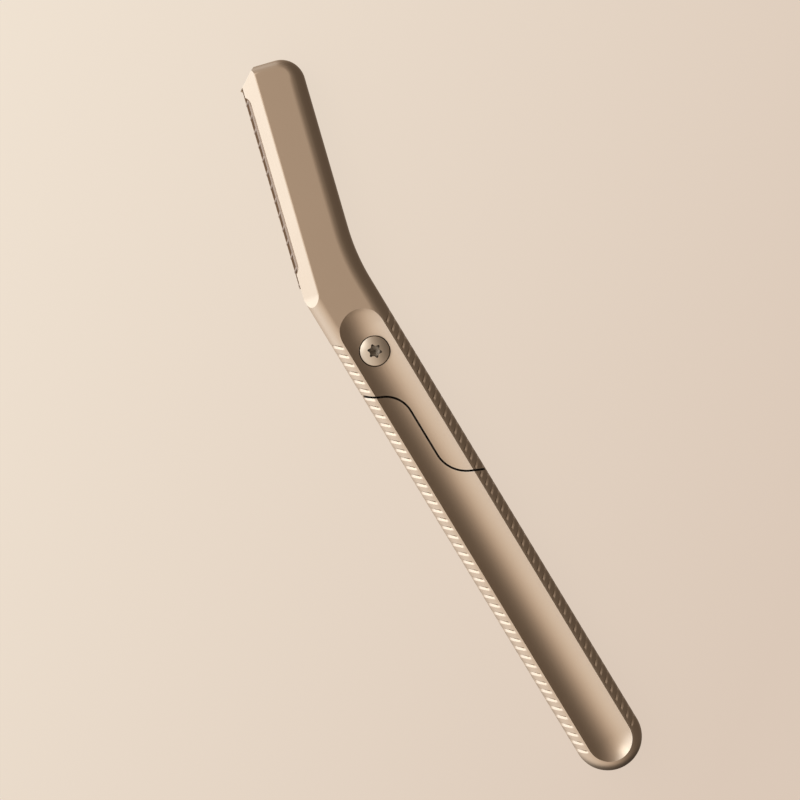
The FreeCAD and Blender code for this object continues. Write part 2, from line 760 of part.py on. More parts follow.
def make_pivot_screw():
    body = new_body(
        "pivot_screw", Placement(Vector(0, 0, HEAD_SEAT), Rotation(Vector(0, 0, 1), size("socket_turn"))))
    head = size("screw_head_radius")
    height = size("screw_head_height")
    rim = size("screw_rim")
    crown = ((height - rim) ** 2 + head ** 2) / (2 * (height - rim))
    shank = size("screw_radius")
    length = size("screw_length")
    section = chain([(0, height), (0, -length), (shank, -length), (shank, 0), (head, 0), (head, rim)])[:-1]
    section.append(arc(0, height - crown, crown, math.degrees(math.acos(head / crown)), 90))
    sketch, _ = revolve(body, "pivot_screw", section)
    sketch.addConstraint(Sketcher.Constraint("PointOnObject", 5, 3, -2))
    bind(sketch, "shank", "dims.screw_radius", "DistanceX", -1, 1, 1, 2, shank)
    bind(sketch, "head", "dims.screw_head_radius", "DistanceX", -1, 1, 3, 2, head)
    bind(sketch, "length", "dims.screw_length", "DistanceY", 1, 1, -1, 1, length)
    bind(sketch, "rim", "dims.screw_rim", "DistanceY", -1, 1, 4, 2, rim)
    bind(sketch, "height", "dims.screw_head_height", "DistanceY", -1, 1, 0, 1, height)
    doc.recompute()
    drive = plane_sketch(body, "socket_plan", "XY_Plane", height)
    draw(drive, socket_lobes())
    socket = body.newObject("PartDesign::Pocket", "socket")
    socket.Profile = drive
    socket.setExpression("Length", "dims.socket_depth")
    doc.recompute()
    bottom = height - size("socket_depth")
    tip = plane_sketch(body, "socket_tip_section", "XZ_Plane")
    inner = size("socket_inner")
    draw(tip, chain([(0, bottom), (inner, bottom), (0, bottom - size("socket_point"))]))
    bind(tip, "tip_radius", "dims.socket_inner", "DistanceX", 0, 1, 0, 2, inner)
    bind(tip, "tip_depth", "dims.socket_point", "DistanceY", 2, 1, 2, 2, size("socket_point"))
    drilled = body.newObject("PartDesign::Groove", "socket_tip")
    drilled.Profile = tip
    drilled.ReferenceAxis = (tip, ["V_Axis"])
    drilled.Angle = 360.0
    return body


pivot_screw = make_pivot_screw()


# Blade: a thin strip honed from both faces, with a round hole and a slot for the pins

def make_blade():
    length = size("blade_high") - size("blade_low")
    middle = (size("blade_high") + size("blade_low")) / 2
    body = new_body("blade", in_head(0, middle, SEAT_FLOOR))
    edge = -size("blade_edge")
    hone = edge + size("hone_width")
    back = -size("blade_back")
    sheet = size("blade_thickness")
    section = plane_sketch(body, "blade_section", "XZ_Plane")
    draw(section, chain([(edge, sheet / 2), (hone, 0), (back, 0), (back, sheet), (hone, sheet)]))
    bind(section, "sheet", "dims.blade_thickness", "DistanceY", 2, 1, 2, 2, sheet)
    bind(section, "back", "dims.blade_back", "DistanceX", 2, 1, -1, 1, -back)
    bind(section, "edge", "dims.blade_edge", "DistanceX", 0, 1, -1, 1, -edge)
    pad(body, "blade_strip", section, "dims.blade_high - dims.blade_low", symmetric=True)
    doc.recompute()
    holes = plane_sketch(body, "blade_holes", "XY_Plane")
    radius = size("pin_radius") + size("pin_play")
    x = -size("pin_line")
    low = size("pin_low") - middle
    high = size("pin_high") - middle
    slot = size("pin_slot")
    holes.addGeometry(Part.Circle(Vector(x, low, 0), Vector(0, 0, 1), radius), False)
    bind(holes, "hole", "dims.pin_radius + dims.pin_play", "Radius", 0, radius)
    draw(holes, [
        arc(x, high + slot, radius, 0, 180),
        line(x - radius, high + slot, x - radius, high - slot),
        arc(x, high - slot, radius, 180, 360),
        line(x + radius, high - slot, x + radius, high + slot),
    ])
    cut = body.newObject("PartDesign::Pocket", "blade_pin_holes")
    cut.Profile = holes
    cut.SideType = "Symmetric"
    cut.setExpression("Length", "4 * dims.blade_thickness")
    return body


blade = make_blade()


# Guard: thin foil folded over the blade edge, with slanted windows that leave narrow bars

def make_blade_guard():
    middle = (size("blade_high") + size("blade_low")) / 2
    body = new_body("blade_guard", in_head(0, middle, SEAT_FLOOR))
    foil = size("guard_foil")
    sheet = size("blade_thickness")
    fit = size("guard_fit")
    nose = size("guard_nose")
    ease = size("guard_ease")
    edge = -size("blade_edge")
    hone = edge + size("hone_width")
    back = -size("guard_back")
    tip = edge - size("guard_tip")
    section = plane_sketch(body, "guard_section", "XZ_Plane")
    draw(section, chain([
        (back, sheet + fit), (back, sheet + foil), (hone - ease, sheet + foil), (tip, sheet / 2 + nose),
        (tip, sheet / 2 - nose), (hone - ease, -foil), (back, -foil), (back, -fit),
        (hone - ease / 2, -fit), (edge - size("guard_fold"), sheet / 2), (hone - ease / 2, sheet + fit)]))
    bind(section, "back", "dims.guard_back", "DistanceX", 0, 1, -1, 1, -back)
    pad(body, "guard_strip", section, "dims.blade_high - dims.blade_low", symmetric=True)
    doc.recompute()
    windows = plane_sketch(body, "guard_windows", "XY_Plane")
    pitch = size("guard_pitch")
    inner = -size("guard_window")
    outer = tip - size("guard_cut")
    fall = (inner - outer) * size("guard_slant")
    half_bar = size("guard_bar") * math.hypot(1, size("guard_slant")) / 2
    start = size("guard_first_bar") - middle - pitch + half_bar + fall / 2
    opening = pitch - 2 * half_bar
    bars = int(size("guard_bars"))
    for i in range(bars + 1):
        low = start + i * pitch
        high = low + opening + (pitch if i == bars else 0)
        draw(windows, chain([(inner, low), (inner, high), (outer, high - fall), (outer, low - fall)]))
    cut = body.newObject("PartDesign::Pocket", "guard_slots")
    cut.Profile = windows
    cut.SideType = "Symmetric"
    cut.setExpression("Length", "8 * dims.blade_thickness")
    return body


blade_guard = make_blade_guard()


# Finished sub-parts

NODES = [
    handle_body, front_jaw, pivot_screw, pivot_sleeve, spring_washer, thrust_washer, blade, blade_guard,
    lower_blade_pin, upper_blade_pin, handle_magnet, jaw_magnet,
]

doc.recompute()
for item in doc.Objects:
    if "Invalid" in item.State or "Error" in item.State:
        raise RuntimeError(f"{item.Label} did not build: {item.State}")
os.makedirs("parts", exist_ok=True)
for node in NODES:
    shape = node.Shape
    if shape.isNull() or not shape.isValid():
        raise RuntimeError(f"{node.Label} has no valid shape")
    shape.exportStep(f"parts/{node.Label}.step")
    print(node.Label, len(shape.Solids), "solid", round(shape.Volume, 3), "mm3", len(shape.Faces), "faces")
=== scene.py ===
"""Looks of the eyebrow razor: satin champagne metal on a pale floor, seen square on to the front."""
import json
import math

import bpy
import numpy as np
from mathutils import Matrix, Vector


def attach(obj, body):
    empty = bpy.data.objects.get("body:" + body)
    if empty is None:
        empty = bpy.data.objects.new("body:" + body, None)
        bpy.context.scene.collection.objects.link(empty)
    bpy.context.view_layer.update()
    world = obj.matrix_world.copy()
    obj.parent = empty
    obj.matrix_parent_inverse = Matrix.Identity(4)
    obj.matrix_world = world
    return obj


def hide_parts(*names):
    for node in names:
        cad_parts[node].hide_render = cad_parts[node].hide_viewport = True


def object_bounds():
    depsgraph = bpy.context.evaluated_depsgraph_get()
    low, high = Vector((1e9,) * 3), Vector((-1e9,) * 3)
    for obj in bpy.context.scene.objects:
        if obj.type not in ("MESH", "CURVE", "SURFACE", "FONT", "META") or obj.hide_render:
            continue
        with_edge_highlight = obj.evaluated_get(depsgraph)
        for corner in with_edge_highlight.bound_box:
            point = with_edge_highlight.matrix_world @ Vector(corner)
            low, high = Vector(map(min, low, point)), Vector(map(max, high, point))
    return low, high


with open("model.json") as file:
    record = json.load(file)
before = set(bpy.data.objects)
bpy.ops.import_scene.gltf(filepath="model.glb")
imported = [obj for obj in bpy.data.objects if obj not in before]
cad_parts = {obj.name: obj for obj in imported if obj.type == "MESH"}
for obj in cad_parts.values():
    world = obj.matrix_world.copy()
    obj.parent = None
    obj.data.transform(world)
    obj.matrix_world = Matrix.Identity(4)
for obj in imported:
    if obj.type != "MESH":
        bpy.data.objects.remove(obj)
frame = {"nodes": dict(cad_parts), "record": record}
cad_low, cad_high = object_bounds()
nodes = frame["nodes"]

# How the razor stands in the picture: its handle leans left of upright by LEAN
LEAN = math.radians(31.18)
MM_PER_PIXEL = 0.19
IMAGE_SIDE = 800
PIVOT_PIXEL = (374.8, 351.3)
RIGHT = Vector((math.cos(LEAN), -math.sin(LEAN), 0))
UP = Vector((math.sin(LEAN), math.cos(LEAN), 0))
FRONT = Vector((0, 0, 1))

# Sizes in millimetres, and angles in radians unless a name says degrees
THICKNESS = 7.0
HALF_WIDTH = 6.5
HANDLE_REACH = 85.4
EDGE_ROUND = 3.0
HEAD_TURN = math.radians(15.0)
HEAD_SPINE = 1.7
EAR_LINE = 10.75
EAR_BEND = 6.5
NECK_BEND = 40.0
HEAD_TOP = 58.1
TOP_ROUND = 1.7
TOP_CORNER = 4.5
TOP_CREST = 7.0
CORNER_SLANT = math.tan(math.radians(43.0))
CHANNEL_RADIUS = 6.8
CHANNEL_DEPTH = 1.7
CHANNEL_TOP = 4.15
CHANNEL_LOW = 85.8
RIB_PITCH = 1.9
RIB_COUNT = 48
RIB_FIRST = 5.14
RIB_RISE = 0.52
RIB_SLANT = 0.864
RIB_DEPTH = 0.34
RIB_STEEP_END = 0.12
RIB_GENTLE_START = 0.68
RIB_STATIONS = (0.0, 0.035, 0.075, RIB_STEEP_END, 0.28, 0.46, 0.62, RIB_GENTLE_START, 0.73, 0.80, 0.90)
RIB_FRONT_FADE_DEGREES = (22, 31)
RIB_BACK_FADE_DEGREES = (45, 90)
JAW_FACE = 3.55
HANDLE_FACE = 3.45
SPLIT_GAP = 0.4
SHOULDER = 8.8
SPLIT_CORNER = 5.54
SPLIT_DROP = 22.9
TONGUE_ROUND = 6.35
TONGUE_SLOPE = math.radians(25.0)
CREST_LINE = 7.3
CREST_ROUND = 0.6
BEVEL_LOW = 13.4
BEVEL_RUNOUT = 5.0
LIP_LINE = 10.2
LIP_HEIGHT = 0.3
REAR_LIP = 0.6
WINDOW_LINE = 9.7
WINDOW_LOW = 17.3
WINDOW_HIGH = 53.9
WINDOW_ROUND = 2.5
WINDOW_TAPER = 0.5 * math.tan(math.radians(22.0))
SEAT_LOW = 15.2
SEAT_HIGH = 54.8
SEAT_BACK = 4.3
SEAT_FLOOR = 3.2
GUARD_BACK = 7.5
GUARD_FLOOR = 3.1
PIN_LINE = 5.9
PIN_PLACES = (21.5, 48.8)
PIN_RADIUS = 0.77
PIN_FLOOR = 1.4
CATCH = (3.4, -20.0)
CATCH_RADIUS = 1.52
CATCH_HEIGHT = 1.2
HUB_TOP = 4.85
COUNTERBORE = 2.98
JAW_BORE = 2.13
WASHER_POCKET = 4.3
WASHER_FLOOR = 3.25
SCREW_HOLE = 1.53
SCREW_HOLE_FLOOR = 0.65
SCREW_SEAT = 5.15
SCREW_HEAD = 2.8
SCREW_HEIGHT = 1.6
SCREW_RIM = 1.0
SCREW_EDGE = 0.15
SCREW_SHANK = 1.5
SCREW_LENGTH = 4.35
SOCKET_TURN = math.radians(22.0)
SOCKET_OUTER = 1.37
SOCKET_INNER = 0.99
SOCKET_LOBE = 0.229
SOCKET_DEPTH = 0.85
SOCKET_POINT = 0.45
NICK_PLACE = 27.9
NICK_WIDTH = 1.0
NICK_DEPTH = 0.45
NICK_HEIGHT = 1.2
OVERLAP = 0.2
FAR = 40.0
SHARP_ANGLE = math.radians(17)

ALONG = np.array([math.sin(HEAD_TURN), math.cos(HEAD_TURN)])
ACROSS = np.array([math.cos(HEAD_TURN), -math.sin(HEAD_TURN)])


# Surfaces

def solid(name, rings):
    """Closed skin through rings of points, an array (ring, point, xyz): quads join each ring to the next,
    and one flat face closes each end. Faces are turned outwards by the sign of the enclosed volume."""
    count, around = rings.shape[:2]
    index = np.arange(count * around).reshape(count, around)
    onward = np.roll(index, -1, axis=1)
    quads = np.stack([index[:-1], onward[:-1], onward[1:], index[1:]], axis=-1).reshape(-1, 4)
    points = rings.reshape(-1, 3)
    low, high = index[0][::-1], index[-1]
    corner = points[quads]
    fans = np.cross(corner[:, 1] - corner[:, 0], corner[:, 2] - corner[:, 0])
    fans = fans + np.cross(corner[:, 2] - corner[:, 0], corner[:, 3] - corner[:, 0])
    volume = (fans * corner.mean(axis=1)).sum()
    for cap in (low, high):
        edge = points[cap]
        area = np.cross(edge, np.roll(edge, -1, axis=0)).sum(axis=0)
        volume += area @ edge.mean(axis=0)
    if volume < 0:
        quads, low, high = quads[:, ::-1], low[::-1], high[::-1]
    mesh = bpy.data.meshes.new(name)
    mesh.from_pydata(points.tolist(), [], quads.tolist() + [low.tolist(), high.tolist()])
    made = bpy.data.objects.new(name, mesh)
    bpy.context.scene.collection.objects.link(made)
    return made


def to_handle(x, y):
    """Plan point of the head frame, x across the blade and y along it, in the handle's frame."""
    return np.stack([x * ACROSS[0] + y * ALONG[0], x * ACROSS[1] + y * ALONG[1]], axis=-1)


def arc(x, y, radius, start, end, steps):
    """Points on a circle about (x, y): centre + radius * (cos, sin), angles in radians."""
    angle = np.linspace(start, end, steps)
    return np.stack([x + radius * np.cos(angle), y + radius * np.sin(angle)], axis=-1)


def upright(name, plans, levels, in_head=False):
    """Skin through one plan outline (n, 2) per level z, standing along Z."""
    rings = []
    for plan, level in zip(plans, levels):
        plan = np.asarray(plan, float)
        flat = to_handle(plan[:, 0], plan[:, 1]) if in_head else plan
        rings.append(np.column_stack([flat, np.full(len(flat), level)]))
    return solid(name, np.stack(rings))


def block(name, x, y, z, in_head=True):
    """Plain block between pairs of limits, used only to cut."""
    plan = [(x[0], y[0]), (x[1], y[0]), (x[1], y[1]), (x[0], y[1])]
    return upright(name, [plan, plan], z, in_head)


def drill(name, place, radius, low, high, in_head=False):
    """Round cutter standing at a plan place."""
    plan = arc(*place, radius, 0, 2 * math.pi, 97)[:-1]
    return upright(name, [plan, plan], (low, high), in_head)


def along_blade(name, section, away):
    """Section of (x, z) points in the head frame, carried straight up along the blade. Below BEVEL_LOW it
    runs on by r sin t while it lifts by r (1 - cos t) along away, so that the cut leaves the metal in an
    arc."""
    section = np.asarray(section, float)
    turn = np.radians(np.linspace(60, 0, 24))
    y = np.append(BEVEL_LOW - BEVEL_RUNOUT * np.sin(turn), HEAD_TOP + 10)
    lift = np.append(BEVEL_RUNOUT * (1 - np.cos(turn)), 0)[:, None]
    x = section[:, 0] + lift * away[0]
    z = section[:, 1] + lift * away[1]
    flat = to_handle(x, np.broadcast_to(y[:, None], x.shape))
    return solid(name, np.concatenate([flat, z[..., None]], axis=-1))


def turned(name, profile, steps):
    """Profile of (radius, z) points turned about the Z axis: (radius cos, radius sin, z)."""
    profile = np.asarray(profile, float)
    angle = np.linspace(0, 2 * math.pi, steps, endpoint=False)
    radius = np.maximum(profile[:, :1], 0.002)
    rings = np.stack([radius * np.cos(angle), radius * np.sin(angle),
                      np.broadcast_to(profile[:, 1:], (len(profile), steps))], axis=-1)
    return solid(name, rings)


def ease(value, low, high):
    """Smooth step from 0 at low to 1 at high: t * t * (3 - 2 t)."""
    t = np.clip((value - low) / (high - low), 0, 1)
    return t * t * (3 - 2 * t)


# Outer form: the bar's edge section carried round its plan outline

TURN_COS = math.cos(HEAD_TURN)
TURN_SIN = math.sin(HEAD_TURN)
OUTER_Y = (EAR_LINE - HALF_WIDTH * TURN_COS - EAR_BEND * (1 - TURN_COS)) / TURN_SIN
INNER_Y = (HALF_WIDTH * TURN_COS - HEAD_SPINE - NECK_BEND * (1 - TURN_COS)) / TURN_SIN


def head_point(x, y):
    return ACROSS * x + ALONG * y


def plan_stretches():
    """Lines and arcs of the plan, counter-clockwise from the handle's tip.
    A line is (length, start, direction, None); an arc is (length, centre, start angle, signed radius)."""
    tip = np.array([0.0, -HANDLE_REACH])
    quarter = HALF_WIDTH * math.pi / 2
    spine_low = np.array([HALF_WIDTH + NECK_BEND, INNER_Y]) - ACROSS * NECK_BEND
    spine_high = head_point(HEAD_SPINE, HEAD_TOP - TOP_CORNER)
    top_right = head_point(HEAD_SPINE - TOP_CORNER, HEAD_TOP)
    top_centre = head_point(HEAD_SPINE - TOP_CORNER, HEAD_TOP - TOP_CORNER)
    ear_high = head_point(-EAR_LINE, HEAD_TOP)
    ear_low = np.array([EAR_BEND - HALF_WIDTH, OUTER_Y]) - ACROSS * EAR_BEND
    up = np.array([0.0, 1.0])
    return [
        (quarter, tip, -math.pi / 2, HALF_WIDTH),
        (INNER_Y + HANDLE_REACH, tip + (HALF_WIDTH, 0), up, None),
        (NECK_BEND * HEAD_TURN, np.array([HALF_WIDTH + NECK_BEND, INNER_Y]), 0.0, -NECK_BEND),
        (np.linalg.norm(spine_high - spine_low), spine_low, ALONG, None),
        (TOP_CORNER * math.pi / 2, top_centre, -HEAD_TURN, TOP_CORNER),
        (np.linalg.norm(ear_high - top_right), top_right, -ACROSS, None),
        (np.linalg.norm(ear_high - ear_low), ear_high, -ALONG, None),
        (EAR_BEND * HEAD_TURN, np.array([EAR_BEND - HALF_WIDTH, OUTER_Y]), math.pi - HEAD_TURN, EAR_BEND),
        (OUTER_Y + HANDLE_REACH, np.array([-HALF_WIDTH, OUTER_Y]), -up, None),
        (quarter, tip, math.pi, HALF_WIDTH),
    ]


STRETCHES = plan_stretches()
ENDS = np.cumsum([0.0] + [stretch[0] for stretch in STRETCHES])
LOOP = ENDS[-1]


def plan_at(s):
    """Plan point and outward normal at arc length s. On a line the point is start + direction * run and the
    normal is the direction turned right; on an arc both come from the angle, start + run / radius."""
    s = np.mod(s, LOOP)
    point = np.zeros(s.shape + (2,))
    normal = np.zeros(s.shape + (2,))
    for begin, finish, (_, anchor, heading, radius) in zip(ENDS[:-1], ENDS[1:], STRETCHES):
        here = (s >= begin) & (s <= finish)
        run = s[here] - begin
        if radius is None:
            point[here] = anchor + run[:, None] * heading
            normal[here] = (heading[1], -heading[0])
        else:
            angle = heading + run / radius
            outward = np.stack([np.cos(angle), np.sin(angle)], axis=-1)
            normal[here] = outward
            point[here] = anchor + radius * outward
    return point, normal


def edge_section():
    """Angles and rises of the edge section, from the back's flat to the front's flat.
    Each point has its angle from the back or front normal, which side it is on, and how far a rib has
    dropped there from the foot of the front rounding: RIB_SLANT times the inset on the front, where the ribs
    look straight, and RIB_RISE times the distance over the surface behind it."""
    back = np.radians(np.linspace(0, 90, 11))
    front = np.radians(np.concatenate([np.linspace(90, 34, 13), np.linspace(31, 22, 5), [15, 8, 0]]))
    angle = np.concatenate([back, front])
    is_front = np.concatenate([np.zeros(len(back), bool), np.ones(len(front), bool)])
    side = THICKNESS - 2 * EDGE_ROUND
    before = RIB_SLANT * EDGE_ROUND * (1 - np.sin(angle))
    behind = -RIB_RISE * (side + EDGE_ROUND * (math.pi / 2 - angle))
    return angle, is_front, np.where(is_front, before, behind)


def plan_stations():
    """Arc lengths of the stations: close together over every rib, wider elsewhere, and one on each joint."""
    turns = np.arange(-RIB_COUNT, 1)[:, None] + np.array(RIB_STATIONS)[None, :]
    climb = RIB_FIRST + RIB_PITCH * turns.ravel()
    ribbed = climb + HANDLE_REACH + ENDS[1]
    ribbed = ribbed[ribbed > ENDS[1] - 1.5]
    last = ribbed[-1] + 0.6
    half = np.concatenate([
        np.linspace(0, ribbed[0] - 0.5, 18), ribbed, np.linspace(last, ENDS[2], 9)])
    right = np.concatenate([
        half, np.linspace(ENDS[2], ENDS[3], 12)[1:], np.linspace(ENDS[3], ENDS[4], 10)[1:],
        np.linspace(ENDS[4], ENDS[5], 22)[1:], np.linspace(ENDS[5], ENDS[6], 8)[1:]])
    down = LOOP - half[::-1]
    left = np.concatenate([
        np.linspace(ENDS[6], ENDS[7], 16)[1:], np.linspace(ENDS[7], ENDS[8], 8)[1:],
        np.linspace(ENDS[8], down[0], 6)[1:-1], down[down > ENDS[8] + 0.3][:-1]])
    return np.concatenate([right, left])


def rib_relief(climb):
    """Depth share of the ribs at a height along the handle: each land falls gently towards the head and
    steeply towards the tip, both as powers of the share of the way to the line where it meets the next."""
    turn = (climb - RIB_FIRST) / RIB_PITCH
    part = turn - np.floor(turn)
    steep = np.clip(1 - part / RIB_STEEP_END, 0, 1) ** 2
    gentle = np.clip((part - RIB_GENTLE_START) / (1 - RIB_GENTLE_START), 0, 1) ** 1.2
    inside = (turn < 0.5) & (turn > 0.5 - RIB_COUNT)
    return np.where(inside, steep + gentle, 0.0)


def razor_form():
    """Bar with rounded edges and diagonal ribs. The edge section is carried round the plan: a point is the
    plan point less the outward normal times the inset r (1 - sin a), at height r (1 - cos a) from the back or
    the front. The stations slide along the plan with the ribs' drop, so they follow the ribs."""
    angle, is_front, drop = edge_section()
    stations = plan_stations()
    right = stations < LOOP / 2
    climb = np.where(right, stations, LOOP - stations) - ENDS[1] - HANDLE_REACH
    last = RIB_FIRST - RIB_COUNT * RIB_PITCH
    slide = ease(climb, last - 8.5, last + 1.0) * (1 - ease(climb, RIB_FIRST + 0.4, RIB_FIRST + 9.5))
    slide = slide * np.where(right, -1.0, 1.0)
    along = stations[None, :] + slide[None, :] * drop[:, None]
    point, normal = plan_at(along)
    corner = np.argmin(np.abs(stations - ENDS[6]))
    normal[:, corner] = ALONG - ACROSS
    radius = EDGE_ROUND + (TOP_ROUND - EDGE_ROUND) * (
        ease(stations, ENDS[4] - 1.0, ENDS[5]) * (1 - ease(stations, ENDS[6], ENDS[7])))
    inset = radius[None, :] * (1 - np.sin(angle))[:, None]
    rise = radius[None, :] * (1 - np.cos(angle))[:, None]
    height = np.where(is_front[:, None], THICKNESS - rise, rise)
    degrees = np.degrees(angle)
    fade = np.where(is_front, ease(degrees, *RIB_FRONT_FADE_DEGREES), ease(degrees, *RIB_BACK_FADE_DEGREES))
    cut = RIB_DEPTH * fade[:, None] * rib_relief(climb)[None, :]
    inset = inset + cut * np.sin(angle)[:, None]
    height = height - cut * np.cos(angle)[:, None] * np.where(is_front, 1, -1)[:, None]
    flat = point - normal * inset[..., None]
    return solid("razor_form", np.concatenate([flat, height[..., None]], axis=-1))


def channel_cutter():
    """Long capsule over the front face: a circle carried along Y, shrinking as a half ball at both ends."""
    bow = np.radians(np.linspace(-89.5, 0, 40))
    reach = CHANNEL_RADIUS * np.sin(bow)
    y = np.concatenate([-CHANNEL_LOW + reach, CHANNEL_TOP - reach[::-1]])
    radius = CHANNEL_RADIUS * np.concatenate([np.cos(bow), np.cos(bow[::-1])])
    axis = THICKNESS - CHANNEL_DEPTH + CHANNEL_RADIUS
    turn = np.linspace(0, 2 * math.pi, 180, endpoint=False)
    rings = np.stack([
        radius[:, None] * np.sin(turn), np.broadcast_to(y[:, None], (len(y), len(turn))),
        axis - radius[:, None] * np.cos(turn)], axis=-1)
    return solid("channel_cutter", rings)


def split_space(name, shift, floor):
    """Space on the jaw's side of the S-shaped line: an arc about the pivot, a counter-arc, a straight drop,
    the tongue's round end and a slope out to the right, all moved across the line by shift."""
    corner_y = -math.sqrt((SHOULDER + SPLIT_CORNER) ** 2 - SPLIT_CORNER ** 2)
    lean = math.atan2(-corner_y, SPLIT_CORNER)
    left = math.radians(200)
    last = 1.5 * math.pi - TONGUE_SLOPE
    line = np.concatenate([
        arc(0, 0, SHOULDER - shift, left, math.pi + lean, 40),
        arc(-SPLIT_CORNER, corner_y, SPLIT_CORNER + shift, lean, 0, 40)[1:],
        arc(TONGUE_ROUND, -SPLIT_DROP, TONGUE_ROUND - shift, math.pi, last, 40)])
    end = line[-1]
    out = end + np.array([FAR, -FAR * math.tan(TONGUE_SLOPE)])
    plan = np.concatenate([line, [out, (out[0], 2 * FAR), (-FAR, 2 * FAR), (-FAR, line[0, 1])]])
    return upright(name, [plan, plan], (floor, 2 * THICKNESS))


def front_bevel():
    """What the front bevel takes away: a round crest that runs into the sloping flat."""
    slope = math.atan2(THICKNESS - JAW_FACE - LIP_HEIGHT, LIP_LINE - CREST_LINE)
    start_x = -CREST_LINE + CREST_ROUND * math.tan(slope / 2)
    lift = CREST_ROUND * (1 - math.cos(math.radians(3)))
    tilt = np.linspace(0, slope, 16)
    x = start_x - CREST_ROUND * np.sin(tilt)
    z = THICKNESS + lift - CREST_ROUND * (1 - np.cos(tilt))
    far = FAR / 2
    foot = (x[-1] - far * math.cos(slope), z[-1] - far * math.sin(slope))
    section = [(start_x, 2 * THICKNESS), *zip(x, z), foot, (foot[0], 2 * THICKNESS)]
    return along_blade("front_bevel", section, (-math.sin(slope), math.cos(slope)))


def rear_bevel():
    """What the rear bevel takes away: a plain sloping flat."""
    slope = math.atan2(HANDLE_FACE - REAR_LIP, EAR_LINE - CREST_LINE)
    inner = 1 - CREST_LINE
    section = [(inner, -math.tan(slope)), (-FAR, (FAR - CREST_LINE) * math.tan(slope)),
               (-FAR, -THICKNESS), (inner, -THICKNESS)]
    return along_blade("rear_bevel", section, (-math.sin(slope), -math.cos(slope)))


def window_cutter(name, low, high, floor, upwards):
    """Rounded slot beside the edge: its plan is offset outwards by the taper times the height."""
    def plan(grown):
        inner = -WINDOW_LINE + grown
        radius = WINDOW_ROUND + grown
        outer = -WINDOW_LINE - FAR / 2
        first = low - grown
        last = high + grown
        return np.concatenate([
            [(outer, first)], arc(inner - radius, first + radius, radius, -math.pi / 2, 0, 16),
            arc(inner - radius, last - radius, radius, 0, math.pi / 2, 16), [(outer, last)]])
    end = floor + THICKNESS * (1 if upwards else -1)
    return upright(name, [plan(0), plan(THICKNESS * WINDOW_TAPER)], (floor, end), True)


def slant_cutter():
    """Upright cut across the head's top corner on the blade side."""
    x = np.array([-TOP_CREST + 1, -EAR_LINE - 3])
    y = HEAD_TOP + (x + TOP_CREST) * CORNER_SLANT
    plan = [(x[0], y[0]), (x[0], HEAD_TOP + 5), (x[1], HEAD_TOP + 5), (x[1], y[1])]
    return upright("slant_cutter", [plan, plan], (-1, 2 * THICKNESS), True)


def jaw_cutters():
    """What is taken from the jaw: bevel, window, pivot holes, magnet hole and the nick in the spine."""
    nick_y = (NICK_PLACE, NICK_PLACE + NICK_WIDTH)
    return [
        front_bevel(),
        block("jaw_trim", (-FAR, -LIP_LINE), (-FAR, 2 * FAR), (-1, 2 * THICKNESS)),
        window_cutter("jaw_window", WINDOW_LOW, WINDOW_HIGH, JAW_FACE - OVERLAP, True),
        drill("jaw_bore", (0, 0), JAW_BORE, 0, HUB_TOP + 0.1),
        drill("jaw_counterbore", (0, 0), COUNTERBORE, HUB_TOP, 2 * THICKNESS),
        drill("jaw_catch", CATCH, CATCH_RADIUS, 0, JAW_FACE + CATCH_HEIGHT),
        block("jaw_nick", (HEAD_SPINE - NICK_DEPTH, FAR), nick_y, (0, JAW_FACE + NICK_HEIGHT)),
    ]


def handle_cutters():
    """What is taken from the handle: bevel, window, seats, pocket, screw hole, magnet hole and pin holes."""
    ear_y = (-FAR, SEAT_LOW + WINDOW_ROUND)
    seat_y = (SEAT_LOW, SEAT_HIGH)
    cutters = [
        rear_bevel(),
        block("lower_ear_trim", (-FAR, -LIP_LINE), ear_y, (-1, 2 * THICKNESS)),
        window_cutter("rear_window", SEAT_LOW, SEAT_HIGH, HANDLE_FACE + OVERLAP, False),
        block("blade_seat", (-FAR, -SEAT_BACK), seat_y, (SEAT_FLOOR, THICKNESS)),
        block("guard_seat", (-FAR, -GUARD_BACK), seat_y, (GUARD_FLOOR, THICKNESS)),
        drill("washer_pocket", (0, 0), WASHER_POCKET, WASHER_FLOOR, THICKNESS),
        drill("screw_hole", (0, 0), SCREW_HOLE, SCREW_HOLE_FLOOR, THICKNESS),
        drill("handle_catch", CATCH, CATCH_RADIUS, HANDLE_FACE - CATCH_HEIGHT, THICKNESS),
    ]
    for i, y in enumerate(PIN_PLACES):
        cutters.append(drill(f"pin_hole_{i}", (-PIN_LINE, y), PIN_RADIUS, PIN_FLOOR, THICKNESS, True))
    return cutters


def socket_plan():
    """Six round lobes and six round valleys about the axis, each tangent to the next."""
    lobe_place = SOCKET_OUTER - SOCKET_LOBE
    half = math.radians(30)
    fall = lobe_place * math.cos(half)
    valley = (lobe_place ** 2 + SOCKET_INNER ** 2 - 2 * SOCKET_INNER * fall - SOCKET_LOBE ** 2)
    valley = valley / (2 * (SOCKET_LOBE + fall - SOCKET_INNER))
    valley_place = SOCKET_INNER + valley
    meet_x = valley_place * math.cos(half) - lobe_place
    spread = math.atan2(valley_place * math.sin(half), meet_x)
    points = []
    for i in range(6):
        turn = i * math.pi / 3 + SOCKET_TURN
        points.append(arc(lobe_place * math.cos(turn), lobe_place * math.sin(turn), SOCKET_LOBE,
                          turn - spread, turn + spread, 13)[:-1])
        back = turn + half + math.pi
        swing = spread - half
        points.append(arc(valley_place * math.cos(turn + half), valley_place * math.sin(turn + half), valley,
                          back + swing, back - swing, 9)[:-1])
    return np.concatenate(points)


